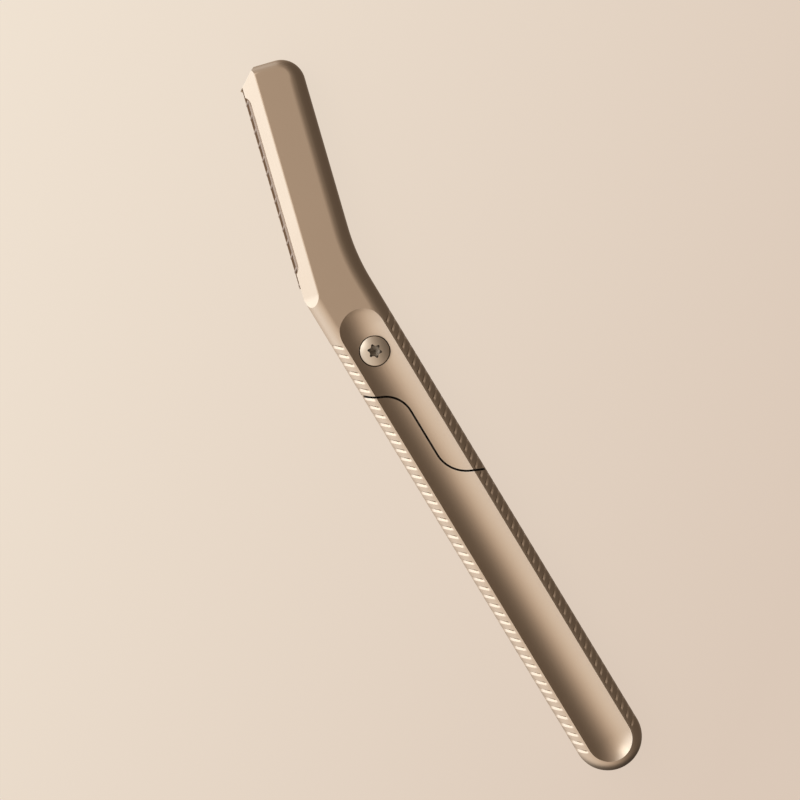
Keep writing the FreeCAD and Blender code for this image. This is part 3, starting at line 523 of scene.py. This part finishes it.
def screw_form():
    """Turned screw: plain shank, flat under-head, a small round edge and a ball-shaped crown."""
    top = SCREW_SEAT + SCREW_HEIGHT
    rise = SCREW_HEIGHT - SCREW_RIM
    crown = (rise ** 2 + SCREW_HEAD ** 2) / (2 * rise)
    lean = math.asin((SCREW_HEAD - SCREW_EDGE) / (crown - SCREW_EDGE))
    bow = np.linspace(0, math.pi / 2 - lean, 8)
    centre = top - crown + (crown - SCREW_EDGE) * math.cos(lean)
    edge_radius = SCREW_HEAD - SCREW_EDGE + SCREW_EDGE * np.cos(bow)
    edge = np.column_stack([edge_radius, centre + SCREW_EDGE * np.sin(bow)])
    tilt = np.linspace(lean, 0, 16)[1:]
    dome = np.column_stack([crown * np.sin(tilt), top - crown * (1 - np.cos(tilt))])
    foot = SCREW_SEAT - SCREW_LENGTH
    under = [(0, foot), (SCREW_SHANK, foot), (SCREW_SHANK, SCREW_SEAT), (SCREW_HEAD, SCREW_SEAT)]
    return turned("screw_form", np.concatenate([under, edge, dome]), 120)


def screw_cutters():
    """Six-lobe socket with a drilled point at its floor."""
    top = SCREW_SEAT + SCREW_HEIGHT
    plan = socket_plan()
    floor = top - SOCKET_DEPTH
    inner = SOCKET_INNER * 0.98
    lid = floor + OVERLAP
    point = [(0, floor - SOCKET_POINT), (SOCKET_INNER, floor), (inner, lid), (0, lid)]
    return [
        upright("socket", [plan, plan], (floor, top + 1)),
        turned("socket_point", point, 72),
    ]


# Carving

def carve(name, base, cutters, within=None):
    """New mesh: the base less the cutters, and only what lies within another solid if one is given."""
    steps = [(cutter, "DIFFERENCE") for cutter in cutters]
    if within is not None:
        steps.insert(0, (within, "INTERSECT"))
    for other, kind in steps:
        cut = base.modifiers.new(other.name, "BOOLEAN")
        cut.solver = "MANIFOLD"
        cut.operation = kind
        cut.object = other
    ready = base.evaluated_get(bpy.context.evaluated_depsgraph_get())
    mesh = bpy.data.meshes.new_from_object(ready)
    base.modifiers.clear()
    for other, _ in steps:
        bpy.data.objects.remove(other)
    mesh.name = name
    return mesh


def finished_piece(name, mesh, body, node_name):
    """Piece from a carved mesh: brought to metres, smooth up to its sharp edges, riding a body and standing
    for a node."""
    mesh.transform(Matrix.Scale(0.001, 4))
    mesh.materials.clear()
    mesh.polygons.foreach_set("use_smooth", np.ones(len(mesh.polygons), bool))
    mesh.set_sharp_from_angle(angle=SHARP_ANGLE)
    made = bpy.data.objects.new(name, mesh)
    bpy.context.scene.collection.objects.link(made)
    even = made.modifiers.new("even_shading", "WEIGHTED_NORMAL")
    even.keep_sharp = True
    even.weight = 60
    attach(made, body)
    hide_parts(node_name)
    return made


def bare(mesh):
    """Plain object that only carries a mesh through the carving."""
    made = bpy.data.objects.new(mesh.name, mesh)
    bpy.context.scene.collection.objects.link(made)
    return made


def make_castings():
    """Handle and jaw, both carved from the one outer form."""
    form = razor_form()
    whole = bare(carve("whole_form", form, [channel_cutter(), slant_cutter()]))
    jaw = carve("jaw_casting", whole, jaw_cutters(), split_space("jaw_space", SPLIT_GAP / 2, JAW_FACE))
    relief = split_space("handle_relief", -SPLIT_GAP / 2, HANDLE_FACE)
    handle = carve("handle_casting", whole, [relief] + handle_cutters())
    for spent in (form, whole):
        bpy.data.objects.remove(spent)
    return (finished_piece("handle_casting", handle, "handle", "handle_body"),
            finished_piece("jaw_casting", jaw, "jaw", "front_jaw"))


def make_screw():
    form = screw_form()
    screw = carve("screw", form, screw_cutters())
    bpy.data.objects.remove(form)
    return finished_piece("screw", screw, "handle", "pivot_screw")


handle_casting, jaw_casting = make_castings()
screw = make_screw()


# Camera

def make_camera():
    """Long lens above the front face, rolled so that the handle leans as in the picture."""
    lens = bpy.data.cameras.new("camera")
    lens.lens = 150.0
    lens.sensor_width = 36.0
    camera = bpy.data.objects.new("camera", lens)
    bpy.context.scene.collection.objects.link(camera)
    metre = MM_PER_PIXEL / 1000
    half = IMAGE_SIDE / 2
    centre = RIGHT * (half - PIVOT_PIXEL[0]) * metre - UP * (half - PIVOT_PIXEL[1]) * metre
    reach = IMAGE_SIDE * metre * lens.lens / lens.sensor_width
    middle = (cad_low.z + cad_high.z) / 2
    camera.location = centre + FRONT * (reach + middle)
    camera.rotation_euler = (0, 0, -LEAN)
    lens.clip_start = 0.01
    lens.clip_end = 20.0
    bpy.context.scene.camera = camera


# Shader helpers

def node(tree, kind, place, **values):
    """One shader node with plain values set on its named inputs or properties."""
    made = tree.nodes.new(kind)
    made.location = place
    for name, value in values.items():
        socket = made.inputs.get(name.replace("_", " ").title())
        if socket is not None:
            socket.default_value = value
        else:
            setattr(made, name, value)
    return made


def join(tree, source, out, target, into):
    tree.links.new(source.outputs[out], target.inputs[into])


def ramp(tree, place, stops):
    """Colour ramp from (position, colour) stops."""
    made = tree.nodes.new("ShaderNodeValToRGB")
    made.location = place
    points = made.color_ramp.elements
    while len(points) < len(stops):
        points.new(0.5)
    for point, (position, colour) in zip(points, stops):
        point.position = position
        point.color = (*colour, 1.0)
    return made


def math_node(tree, place, operation, first, second, clamp=False):
    """Arithmetic node; each operand is a number or a (node, output) pair."""
    made = tree.nodes.new("ShaderNodeMath")
    made.location = place
    made.operation = operation
    made.use_clamp = clamp
    for i, operand in enumerate((first, second)):
        if isinstance(operand, tuple):
            join(tree, *operand, made, i)
        else:
            made.inputs[i].default_value = operand
    return made


def blend_colours(tree, place, share, first, second):
    """Mix of two colours, each a plain colour or a (node, output) pair, by a (node, output) share."""
    made = tree.nodes.new("ShaderNodeMix")
    made.location = place
    made.data_type = "RGBA"
    join(tree, *share, made, 0)
    for i, operand in ((6, first), (7, second)):
        if hasattr(operand[0], "outputs"):
            tree.links.new(operand[0].outputs[operand[1]], made.inputs[i])
        else:
            made.inputs[i].default_value = (*operand, 1.0)
    return made


MIXED = 2


# World and floor: a broad bright side on the picture's left with a soft panel above it, dim on the right
# and under the razor's tip, pale behind everything. A side is its angle and lift, both in degrees

STUDIO = [
    (0.00, (0.118, 0.093, 0.073)), (0.15, (0.132, 0.105, 0.083)), (0.32, (0.240, 0.195, 0.158)),
    (0.50, (0.452, 0.373, 0.308)), (0.64, (0.640, 0.545, 0.465)), (0.80, (0.780, 0.705, 0.635)),
    (1.00, (0.830, 0.785, 0.760))]
BRIGHT_SIDE = (201.0, 0.0)
PANEL_SIDE = (156.0, 0.0)
PANEL_SPREAD = (0.50, 0.95)
PANEL = (0.60, 0.71, 0.81)
DIM_SIDE = (285.0, -35.0)
DIM_SPREAD = (0.50, 0.95)
DIM_SHARE = 0.85
BACKDROP = (0.82, 0.70, 0.597)
# The floor's colour grades from dark to light towards FLOOR_SIDE within FLOOR_REACH: a painted falloff of the
# light.
FLOOR_LIGHT = (0.910, 0.801, 0.678)
FLOOR_DARK = (0.746, 0.615, 0.510)
FLOOR_SIDE = (159.0, 0.0)
FLOOR_REACH = 0.0912
FLOOR_GLOW = 0.90


def seen_rays(tree, place):
    """Share of the rays that see the pale background itself: those of the camera, of gloss and of glass."""
    path = node(tree, "ShaderNodeLightPath", place)
    x, y = place
    gloss = math_node(tree, (x + 180, y), "ADD", (path, "Is Camera Ray"), (path, "Is Glossy Ray"), True)
    return math_node(tree, (x + 360, y), "ADD", (gloss, "Value"), (path, "Is Transmission Ray"), True)


def picture_axis(turn, lift):
    """Direction by its angle in the picture, counter-clockwise from the right, and its lift to the front."""
    turn = math.radians(turn)
    lift = math.radians(lift)
    return (RIGHT * math.cos(turn) + UP * math.sin(turn)) * math.cos(lift) + FRONT * math.sin(lift)


def toward(tree, place, direction, side, low, high, kind):
    """Share from 0 to 1 of how far a direction points to a side: its dot product, ranged from low to high."""
    along = node(tree, "ShaderNodeVectorMath", place, operation="DOT_PRODUCT")
    along.inputs[1].default_value = picture_axis(*side)
    join(tree, direction, "Generated", along, 0)
    after = (place[0] + 200, place[1])
    share = node(tree, "ShaderNodeMapRange", after, from_min=low, from_max=high, interpolation_type=kind)
    join(tree, along, "Value", share, "Value")
    return share


def make_world():
    world = bpy.data.worlds.new("studio")
    bpy.context.scene.world = world
    world.use_nodes = True
    tree = world.node_tree
    tree.nodes.clear()
    direction = node(tree, "ShaderNodeTexCoord", (-1200, 0))
    bright = toward(tree, (-1000, 0), direction, BRIGHT_SIDE, -1.0, 1.0, "LINEAR")
    panel = toward(tree, (-1000, -250), direction, PANEL_SIDE, *PANEL_SPREAD, "SMOOTHSTEP")
    dim = toward(tree, (-1000, -500), direction, DIM_SIDE, *DIM_SPREAD, "SMOOTHSTEP")
    base = ramp(tree, (-600, 0), STUDIO)
    join(tree, bright, "Result", base, "Fac")
    lit = blend_colours(tree, (-450, 0), (panel, "Result"), (base, "Color"), PANEL)
    lit.blend_type = "ADD"
    kept = math_node(tree, (-600, -500), "MULTIPLY", (dim, "Result"), DIM_SHARE)
    light = blend_colours(tree, (-300, 0), (kept, "Value"), (lit, MIXED), (0.0, 0.0, 0.0))
    studio = node(tree, "ShaderNodeBackground", (-150, 0))
    tree.links.new(light.outputs[MIXED], studio.inputs["Color"])
    behind = node(tree, "ShaderNodeBackground", (-300, -150), color=(*BACKDROP, 1))
    path = node(tree, "ShaderNodeLightPath", (-500, 300))
    choice = node(tree, "ShaderNodeMixShader", (0, 0))
    join(tree, path, "Is Camera Ray", choice, "Fac")
    tree.links.new(studio.outputs[0], choice.inputs[1])
    tree.links.new(behind.outputs[0], choice.inputs[2])
    out = node(tree, "ShaderNodeOutputWorld", (200, 0))
    join(tree, choice, "Shader", out, "Surface")


def make_floor():
    """Pale floor just under the back that keeps the shadow; its colour is lighter towards the view's left, a
    painted falloff of the light.
    """
    side = 3.0
    mesh = bpy.data.meshes.new("floor")
    corners = [(-side, -side), (side, -side), (side, side), (-side, side)]
    mesh.from_pydata([(x, y, -0.00002) for x, y in corners], [], [(0, 1, 2, 3)])
    floor = bpy.data.objects.new("floor", mesh)
    bpy.context.scene.collection.objects.link(floor)
    floor.visible_glossy = False
    material = bpy.data.materials.new("pale_floor")
    material.use_nodes = True
    tree = material.node_tree
    tree.nodes.clear()
    place = node(tree, "ShaderNodeTexCoord", (-1100, 0))
    across = node(tree, "ShaderNodeVectorMath", (-900, 0), operation="DOT_PRODUCT")
    across.inputs[1].default_value = picture_axis(*FLOOR_SIDE)
    join(tree, place, "Object", across, 0)
    share = node(tree, "ShaderNodeMapRange", (-700, 0), from_min=-FLOOR_REACH, from_max=FLOOR_REACH)
    join(tree, across, "Value", share, "Value")
    # Painted falloff of the light: darker away from FLOOR_SIDE.
    pale = ramp(tree, (-520, 0), [(0.0, FLOOR_DARK), (1.0, FLOOR_LIGHT)])
    join(tree, share, "Result", pale, "Fac")
    paint = node(tree, "ShaderNodeBsdfDiffuse", (-200, 0))
    join(tree, pale, "Color", paint, "Color")
    glow = node(tree, "ShaderNodeEmission", (-200, -200), strength=1.0)
    join(tree, pale, "Color", glow, "Color")
    lit = math_node(tree, (-200, 200), "MULTIPLY", (seen_rays(tree, (-900, 300)), "Value"), FLOOR_GLOW)
    mix = node(tree, "ShaderNodeMixShader", (0, 0))
    join(tree, lit, "Value", mix, "Fac")
    tree.links.new(paint.outputs[0], mix.inputs[1])
    tree.links.new(glow.outputs[0], mix.inputs[2])
    out = node(tree, "ShaderNodeOutputMaterial", (200, 0))
    join(tree, mix, "Shader", out, "Surface")
    mesh.materials.append(material)


def make_lamp(name, bearing, distance, width, height, watts, colour):
    """Area lamp at a distance along a bearing, facing the razor's middle."""
    lamp = bpy.data.lights.new(name, "AREA")
    lamp.shape = "RECTANGLE"
    lamp.size = width
    lamp.size_y = height
    lamp.energy = watts
    lamp.color = colour
    made = bpy.data.objects.new(name, lamp)
    bpy.context.scene.collection.objects.link(made)
    middle = (cad_low + cad_high) / 2
    made.location = middle + bearing.normalized() * distance
    made.rotation_mode = "QUATERNION"
    made.rotation_quaternion = bearing.to_track_quat("Z", "Y")


# Shared surface effects

def effect(name, inputs, outputs):
    """Empty node group with float inputs (name, value) and outputs (name, kind); its tree and ends."""
    tree = bpy.data.node_groups.new(name, "ShaderNodeTree")
    for label, value in inputs:
        socket = tree.interface.new_socket(label, in_out="INPUT", socket_type="NodeSocketFloat")
        socket.default_value = value
    for label, kind in outputs:
        tree.interface.new_socket(label, in_out="OUTPUT", socket_type=kind)
    return tree, node(tree, "NodeGroupInput", (-1200, 0)), node(tree, "NodeGroupOutput", (600, 0))


def satin_effect():
    """Blasted satin: a fine even grain and a slow cloudiness, both noise over the object's own place."""
    tree, given, out = effect(
        "satin", [("Grain", 7000.0), ("Cloud", 70.0)],
        [("Grain", "NodeSocketFloat"), ("Cloud", "NodeSocketFloat")])
    place = node(tree, "ShaderNodeTexCoord", (-1000, 200))
    for i, (label, detail) in enumerate((("Grain", 2.0), ("Cloud", 3.0))):
        noise = node(tree, "ShaderNodeTexNoise", (-600, -300 * i), detail=detail, roughness=0.6)
        join(tree, place, "Object", noise, "Vector")
        join(tree, given, label, noise, "Scale")
        join(tree, noise, "Fac", out, label)
    return tree


def edge_burnish_highlight_effect():
    """Edge mask for polishing and a painted highlight: how far the normal averaged over a small radius turns
    from the true one.
    """
    tree, given, out = effect("edge_burnish_painted_highlight", [("Radius", 0.0002)], [("Edge", "NodeSocketFloat")])
    soft = node(tree, "ShaderNodeBevel", (-600, 0), samples=8)
    join(tree, given, "Radius", soft, "Radius")
    true = node(tree, "ShaderNodeNewGeometry", (-600, -250))
    agree = node(tree, "ShaderNodeVectorMath", (-350, -100), operation="DOT_PRODUCT")
    join(tree, soft, "Normal", agree, 0)
    join(tree, true, "Normal", agree, 1)
    turn = math_node(tree, (-150, -100), "SUBTRACT", 1.0, (agree, "Value"))
    burnish_highlight_share = math_node(tree, (50, -100), "MULTIPLY", (turn, "Value"), 5.0, True)
    join(tree, burnish_highlight_share, "Value", out, "Edge")
    return tree


def hollow_shade_effect():
    """Mask for painted shade: how open a spot is, near 0 deep in gaps and grooves, 1 where the share Full of
    its sky is free.
    """
    tree, given, out = effect("hollow_painted_shade", [("Reach", 0.001), ("Full", 0.6)], [("Open", "NodeSocketFloat")])
    shade = node(tree, "ShaderNodeAmbientOcclusion", (-600, 0), samples=8)
    join(tree, given, "Reach", shade, "Distance")
    wide = node(tree, "ShaderNodeMapRange", (-300, 0), from_min=0.18, interpolation_type="SMOOTHSTEP")
    join(tree, shade, "AO", wide, "Value")
    join(tree, given, "Full", wide, "From Max")
    join(tree, wide, "Result", out, "Open")
    return tree


def place_effect(tree, group, where, **values):
    made = node(tree, "ShaderNodeGroup", where, node_tree=group)
    for label, value in values.items():
        made.inputs[label].default_value = value
    return made


SATIN = satin_effect()
EDGE_BURNISH_HIGHLIGHT = edge_burnish_highlight_effect()
HOLLOW_SHADE = hollow_shade_effect()


# Materials

# Painted shade: occlusion darkens the colour in grooves, gaps and sockets; along edges the colour is lighter,
# partly polished metal and partly a painted highlight.
GROOVE_SHADE_REACH = 0.00022
GROOVE_SHADE_FULL = 0.85
BURNISH_HIGHLIGHT_SHARE = 0.9
GAP_DULLING = 0.5


def metal(name, light, dark, rough, spread, grain, bump, edge_radius, burnish_highlight_colour, crevice_shade_colour, reach=0.0012, full=0.6):
    """Metal whose colour drifts from light to dark with the cloud. Towards its edges it is smoother and
    lighter, polished, with the lighter colour a painted highlight; in gaps and grooves its colour is painted
    shade and it is rougher. rough is its roughness and spread how far cloud and grain move it; bump is the
    grain's height in metres."""
    material = bpy.data.materials.new(name)
    material.use_nodes = True
    tree = material.node_tree
    shader = tree.nodes["Principled BSDF"]
    shader.inputs["Metallic"].default_value = 1.0
    satin = place_effect(tree, SATIN, (-1100, 200), Grain=grain)
    edges = place_effect(tree, EDGE_BURNISH_HIGHLIGHT, (-1100, -100), Radius=edge_radius)
    hollow_painted_shade = place_effect(tree, HOLLOW_SHADE, (-1100, -300), Reach=reach, Full=full)
    groove = place_effect(tree, HOLLOW_SHADE, (-1100, -450), Reach=GROOVE_SHADE_REACH, Full=GROOVE_SHADE_FULL)
    free = math_node(tree, (-900, -380), "MULTIPLY", (hollow_painted_shade, "Open"), (groove, "Open"))
    body = blend_colours(tree, (-800, 300), (satin, "Cloud"), light, dark)
    burnish_highlight_share = math_node(tree, (-800, 60), "MULTIPLY", (edges, "Edge"), BURNISH_HIGHLIGHT_SHARE)
    # Lighter colour along edges: polished metal with a painted highlight.
    with_edge_highlight = blend_colours(tree, (-600, 300), (burnish_highlight_share, "Value"), (body, MIXED), burnish_highlight_colour)
    # Painted shade: the colour turns to the shade colour where gaps, grooves and sockets are occluded.
    with_painted_shade = blend_colours(tree, (-400, 300), (free, "Value"), crevice_shade_colour, (with_edge_highlight, MIXED))
    tree.links.new(with_painted_shade.outputs[MIXED], shader.inputs["Base Color"])
    cloudy = math_node(tree, (-800, -60), "MULTIPLY_ADD", (satin, "Cloud"), spread)
    cloudy.inputs[2].default_value = rough - spread / 2
    grainy = math_node(tree, (-600, -60), "MULTIPLY_ADD", (satin, "Grain"), spread)
    join(tree, cloudy, "Value", grainy, 2)
    smooth = math_node(tree, (-400, -60), "MULTIPLY_ADD", (edges, "Edge"), -rough / 3)
    join(tree, grainy, "Value", smooth, 2)
    dull = math_node(tree, (-200, -60), "MULTIPLY_ADD", (free, "Value"), -GAP_DULLING)
    dull.inputs[2].default_value = GAP_DULLING
    worked = math_node(tree, (-50, -60), "ADD", (smooth, "Value"), (dull, "Value"), True)
    join(tree, worked, "Value", shader, "Roughness")
    relief = node(tree, "ShaderNodeBump", (-400, -300), strength=1.0, distance=bump)
    join(tree, satin, "Grain", relief, "Height")
    join(tree, relief, "Normal", shader, "Normal")
    return material


# Each metal: two cloud colours, then its edge colour, a painted highlight on polished edges, then its painted
# shade colour for gaps and grooves.
champagne = metal(
    "champagne_metal", (0.82, 0.68, 0.54), (0.78, 0.64, 0.50), 0.31, 0.06, 7000.0, 0.000004, 0.00016,
    (1.00, 0.92, 0.79), (0.012, 0.009, 0.006))
screw_steel = metal(
    "screw_steel", (0.90, 0.80, 0.67), (0.84, 0.74, 0.61), 0.30, 0.06, 6000.0, 0.000003, 0.00012,
    (0.90, 0.82, 0.70), (0.030, 0.024, 0.018), reach=0.0025, full=0.95)
spring_steel = metal(
    "spring_steel", (0.62, 0.58, 0.53), (0.55, 0.51, 0.46), 0.28, 0.08, 5000.0, 0.000003, 0.00006,
    (0.80, 0.76, 0.70), (0.04, 0.035, 0.03))
# The blade's dark brown colour is painted shade: it stands in for the dark surroundings that the blade
# reflects.
blade_steel = metal(
    "blade_steel", (0.30, 0.21, 0.145), (0.24, 0.165, 0.11), 0.28, 0.08, 9000.0, 0.000002, 0.00004,
    (0.44, 0.33, 0.23), (0.05, 0.04, 0.03))
guard_steel = metal(
    "guard_steel", (0.74, 0.66, 0.60), (0.66, 0.58, 0.53), 0.30, 0.08, 8000.0, 0.000002, 0.00003,
    (0.92, 0.86, 0.82), (0.05, 0.04, 0.03))
nickel = metal(
    "magnet_nickel", (0.72, 0.69, 0.64), (0.66, 0.63, 0.58), 0.22, 0.06, 5000.0, 0.000002, 0.0001,
    (0.86, 0.83, 0.78), (0.05, 0.045, 0.04))

FINISHES = {
    "champagne_metal": champagne, "screw_steel": screw_steel, "spring_steel": spring_steel,
    "blade_steel": blade_steel, "guard_steel": guard_steel, "magnet_nickel": nickel}
for piece in frame["record"]["subparts"]:
    mesh = nodes[piece["node"]].data
    mesh.materials.clear()
    mesh.materials.append(FINISHES[piece["material_slot"]])
for piece in (handle_casting, jaw_casting):
    piece.data.materials.append(champagne)
screw.data.materials.append(screw_steel)

make_camera()
make_world()
make_floor()
make_lamp("key", -RIGHT * 0.75 + UP * 0.42 + FRONT * 0.57, 0.5, 0.22, 0.40, 0.15, (1.0, 0.97, 0.93))

bpy.context.scene.view_settings.view_transform = "Standard"
